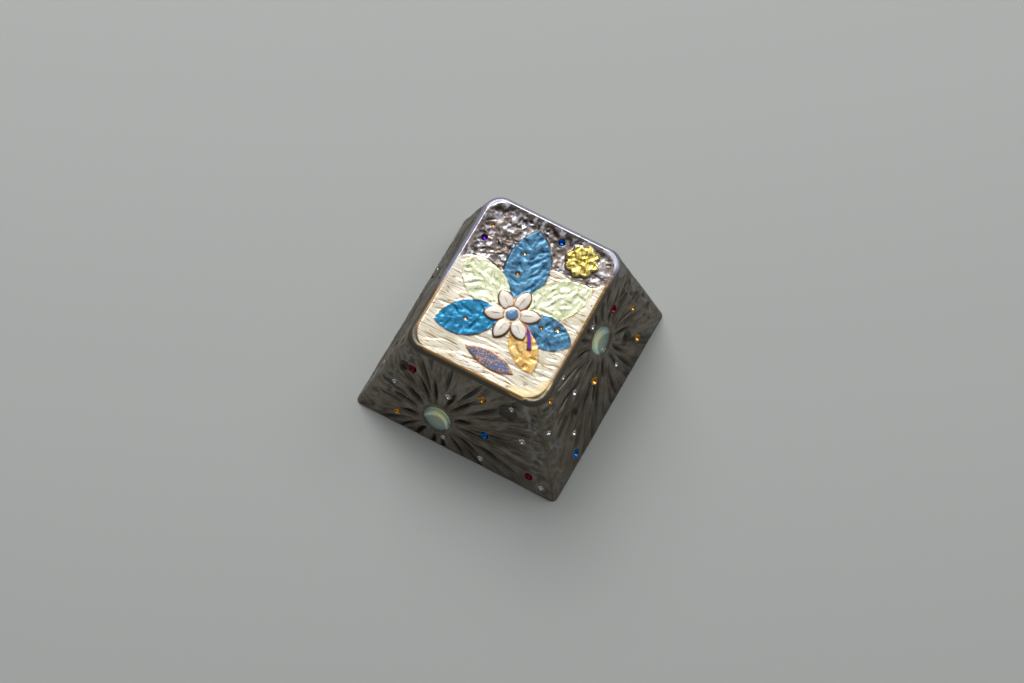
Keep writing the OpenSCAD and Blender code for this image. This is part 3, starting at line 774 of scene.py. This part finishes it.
def new_material(name):
    """An empty material, its Principled shader and a wire of Object coordinates in millimetres."""
    material = bpy.data.materials.new(name)
    material.use_nodes = True
    tree = material.node_tree
    shader = tree.nodes["Principled BSDF"]
    place = add_node(tree, "ShaderNodeTexCoord", {}, {}, "Object")
    place = add_node(tree, "ShaderNodeVectorMath", {"operation": "SCALE"}, {0: place, "Scale": 1000.0})
    return material, tree, shader, place


def noise_at(place, scale, detail=3.0):
    """A noise texture with so many features to the millimetre."""
    settings = {"Vector": place, "Scale": scale, "Detail": detail}
    return add_node(place.tree, "ShaderNodeTexNoise", {}, settings)


def attribute(tree, name):
    """A number stored with each vertex."""
    return add_node(tree, "ShaderNodeAttribute", {"attribute_name": name}, {}, "Fac")


def add_bump(tree, shader, height, strength, distance):
    """Bump from a height whose full rise is the distance."""
    inputs = {"Height": height, "Strength": strength, "Distance": distance}
    bump = add_node(tree, "ShaderNodeBump", {}, inputs, "Normal")
    tree.links.new(bump.socket, shader.inputs["Normal"])


def body_material():
    """Dark skin over bright titanium. Each finish of the face lies inside its own edge, each dimple is
    a circle round its middle, and grooves are darker with painted shade. Fine striae follow the flutes.
    Raised veins carry a painted pale sheen, and the bevel and edge line turn silver towards the back as a
    painted highlight."""
    material, tree, shader, place = new_material("carved_titanium")
    drift = noise_at(place, 0.9, 4.0)
    groove = attribute(tree, "groove")
    crater = attribute(tree, "crater")
    ray_x, ray_y = attribute(tree, "ray_x") * 17, attribute(tree, "ray_y") * 17
    rays = add_node(tree, "ShaderNodeCombineXYZ", {}, {0: ray_x, 1: ray_y, 2: crater * 0.55})
    striae = noise_at(rays, 1.0, 4.0)
    colour = mix(drift.within(0.35, 0.65), (0.27, 0.245, 0.21), (0.20, 0.168, 0.128))
    colour = mix(striae.within(0.50, 0.40) * 0.55, colour, (0.105, 0.09, 0.076))
    # Painted shade: grooves, pits and dishes on the sides darken with their depth, most near the crater
    colour = mix(groove.within(0.22, 0.85), colour, (0.033, 0.028, 0.023))
    # Painted sheen: the raised veins near the upright edges are paler
    colour = mix(attribute(tree, "vein").within(0.35, 0.85) * 0.7, colour, (0.32, 0.33, 0.34))
    rough = 0.34 + striae * 0.12

    inwards = attribute(tree, "inwards")
    side_x = add_node(tree, "ShaderNodeSeparateXYZ", {}, {0: place})
    side_y = Wire(tree, side_x.socket.node.outputs[1])
    # back: 0 at the front, 1 towards the back, where the bevel and edge line get a painted silver highlight
    back = (side_y - side_x * 0.55).within(2.6, 4.6)
    corner_x, corner_y = side_x - 5.0, side_y + 4.6
    roll = (corner_x * corner_x + corner_y * corner_y).within(4.2, 2.6)
    bevel = inwards.within(-0.46, -0.40)
    # Painted highlight: the bevel is brown at the front and silver-grey towards the back, as if lit from
    # behind
    bevel_tone_and_highlight = mix(back, (0.18, 0.157, 0.125), (0.30, 0.29, 0.35))
    colour = mix(bevel, colour, bevel_tone_and_highlight)
    rough = rough * (1 - bevel) + bevel * 0.46

    on_top = inwards.within(-0.05, -0.01)
    pale_grain = noise_at(place, 1.7, 3.0)
    grain = add_node(tree, "ShaderNodeMapping", {}, {"Vector": place, "Rotation": (0.0, 0.0, -0.10),
                                                     "Scale": (0.15, 1.5, 0.15)})
    rows = noise_at(grain, 1.0, 2.0) * 9
    rows = rows.math("PINGPONG", rows, 0.5).within(0.13, 0.04)
    crease = noise_at(place, 0.9, 6.0) * 7
    crease = crease.math("PINGPONG", crease, 0.5).within(0.06, 0.02)
    cloud = noise_at(place, 2.2, 6.0).within(0.48, 0.66)
    metal = 1.0
    for name, (tint, second, roughness, metallic) in FINISHES.items():
        mask = attribute(tree, name).within(0.012, -0.012) * on_top
        layer = mix(drift.within(0.4, 0.6), tint, second)
        if name == "night":
            layer = mix(pale_grain.within(0.52, 0.64), layer, (0.42, 0.41, 0.45))
            # Painted shade: the dents of the dark ground darken with their depth
            layer = mix(groove.within(0.2, 1.0) * 0.7, layer, (0.06, 0.045, 0.04))
        if name == "slate":
            layer = mix(noise_at(place, 7.5, 1.0).within(0.55, 0.58), layer, (0.50, 0.28, 0.16))
        if name in SHADE_AND_LINE_TONES:
            fine = {"cream": rows, "pale": crease, "orange": crease}.get(name, cloud)
            # Painted shade in the grooves by their depth, then the finish's fine lines in the same darker
            # tone
            layer = mix(groove.within(0.25, 0.85) * 0.8, layer, SHADE_AND_LINE_TONES[name])
            layer = mix(fine * 0.85, layer, SHADE_AND_LINE_TONES[name])
        colour = mix(mask, colour, layer)
        rough = rough * (1 - mask) + mask * roughness
        metal = metal * (1 - mask) + mask * metallic
    rolled = roll * inwards.within(-0.10, -0.06) * inwards.within(0.72, 0.50)
    colour = mix(rolled, colour, (0.90, 0.72, 0.42))
    # A thin gold edge line round the face, turning silver towards the back as a painted highlight
    line = (inwards + back * 0.12).within(-0.06, -0.03) * inwards.within(0.07, 0.03)
    colour = mix(line, colour, mix(back, (0.44, 0.25, 0.09), (0.46, 0.45, 0.54)))

    dot_x, dot_y = attribute(tree, "dot_x"), attribute(tree, "dot_y")
    from_dot = dot_x * dot_x + dot_y * dot_y
    dot = from_dot.within(1.12, 0.94) * attribute(tree, "dot_gap").within(0.12, 0.06)
    kinds = len(DOT_COLOURS)
    stops = [(max(k - 0.5, 0) / kinds, tint) for k, tint in enumerate(DOT_COLOURS.values())]
    colour = mix(dot, colour, add_ramp(tree, stops, attribute(tree, "dot_kind") * (1 / kinds), True))
    rough = rough * (1 - dot) + dot * 0.13
    metal = metal * (1 - dot) + dot

    on_bowl = crater.within(BOWL_R + 0.06, BOWL_R + 0.02) * inwards.within(0.0, -0.2)
    on_bowl = on_bowl * crater.within(0.0, 0.01)
    stops = [(0.0, (0.96, 0.95, 0.50)), (0.45, (0.88, 0.96, 0.66)), (0.72, (0.66, 0.84, 0.68)),
             (0.92, (0.46, 0.60, 0.55)), (1.0, (0.22, 0.26, 0.24))]
    colour = mix(on_bowl, colour, add_ramp(tree, stops, crater.within(0.0, BOWL_R + 0.02)))
    rough = rough * (1 - on_bowl) + on_bowl * 0.14
    metal = metal * (1 - on_bowl * 0.3)
    inside = attribute(tree, "inside").within(-0.2, 0.2)
    colour = mix(inside, colour, (0.34, 0.33, 0.32))
    rough = rough * (1 - inside) + inside * 0.38
    tree.links.new(colour.socket, shader.inputs["Base Color"])
    tree.links.new(rough.socket, shader.inputs["Roughness"])
    tree.links.new(metal.socket, shader.inputs["Metallic"])

    bare = (1 - dot) * (1 - on_bowl)
    height = striae * crater * 0.006 + noise_at(place, 3.5, 4.0) * 0.012
    height = height + noise_at(place, 13.0, 2.0) * 0.004
    height = height * bare + from_dot.math("MINIMUM", from_dot, 1.0) * 0.07
    add_bump(tree, shader, height, 1.0, MM)
    return material


def stem_material():
    """Moulded acetal, off-white with a fine matt grain and faint flow marks."""
    material, tree, shader, place = new_material("moulded_acetal")
    flow = noise_at(place, 0.7, 3.0)
    colour = mix(flow.within(0.3, 0.7), (0.74, 0.72, 0.66), (0.66, 0.64, 0.58))
    tree.links.new(colour.socket, shader.inputs["Base Color"])
    rough = 0.42 + noise_at(place, 5.0) * 0.12
    tree.links.new(rough.socket, shader.inputs["Roughness"])
    add_bump(tree, shader, noise_at(place, 9.0), 0.2, 0.04 * MM)
    shader.inputs["Subsurface Weight"].default_value = 0.1
    shader.inputs["Subsurface Scale"].default_value = 0.5 * MM
    return material


def add_floor():
    """A plain pale floor."""
    bpy.ops.mesh.primitive_plane_add(size=4.0)
    floor = bpy.context.object
    floor.name = "floor"
    material, _, shader, _ = new_material("pale_floor")
    shader.inputs["Base Color"].default_value = (0.44, 0.455, 0.44, 1)
    shader.inputs["Roughness"].default_value = 0.85
    floor.data.materials.append(material)


def add_light(name, towards, distance, size, power):
    """A square soft light that looks back at the keycap."""
    lamp = bpy.data.lights.new(name, "AREA")
    lamp.shape = "SQUARE"
    lamp.size = size
    lamp.energy = power
    light = bpy.data.objects.new(name, lamp)
    bpy.context.scene.collection.objects.link(light)
    way = np.array(towards) / np.linalg.norm(towards)
    side = np.cross([0, 0, 1], way)
    side = side / np.linalg.norm(side)
    up = np.cross(way, side)
    turn = Matrix([[side[k], up[k], way[k]] for k in range(3)]).to_4x4()
    middle = np.array([0, 0, 4 * MM])
    light.matrix_world = Matrix.Translation(way * distance + middle) @ turn


def add_camera():
    """The photograph's view: above and to the front right, a little rolled."""
    azimuth, elevation, roll = math.radians(36.955), math.radians(68.243), math.radians(-8.379)
    lens = bpy.data.cameras.new("camera")
    lens.sensor_width = 36.0
    lens.lens = 120.18
    lens.clip_start = 0.01
    camera = bpy.data.objects.new("camera", lens)
    bpy.context.scene.collection.objects.link(camera)
    turn = (Matrix.Rotation(azimuth, 4, "Z") @ Matrix.Rotation(math.pi / 2 - elevation, 4, "X")
            @ Matrix.Rotation(roll, 4, "Z"))
    camera.matrix_world = Matrix.Translation((0.060032, -0.079235, 0.252479)) @ turn
    bpy.context.scene.camera = camera


def add_world():
    """Even grey light from all round."""
    world = bpy.data.worlds.new("studio")
    bpy.context.scene.world = world
    world.use_nodes = True
    background = world.node_tree.nodes["Background"]
    background.inputs["Color"].default_value = (0.95, 0.98, 1.0, 1)
    background.inputs["Strength"].default_value = 0.13


body = build_body()
body.data.materials.append(body_material())
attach(body, "root")
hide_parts("cap_body")
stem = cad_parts["stem_socket"]
stem.data.materials.clear()
stem.data.materials.append(stem_material())

add_floor()
add_world()
add_light("key_softbox", (-0.50, 0.60, 0.64), 0.34, 0.20, 0.83)
add_light("overhead_softbox", (-0.24, 0.25, 0.94), 0.50, 0.42, 0.50)
add_light("side_softbox", (0.36, 0.62, 0.70), 0.50, 0.28, 0.58)
add_camera()
bpy.context.scene.view_settings.view_transform = "Standard"
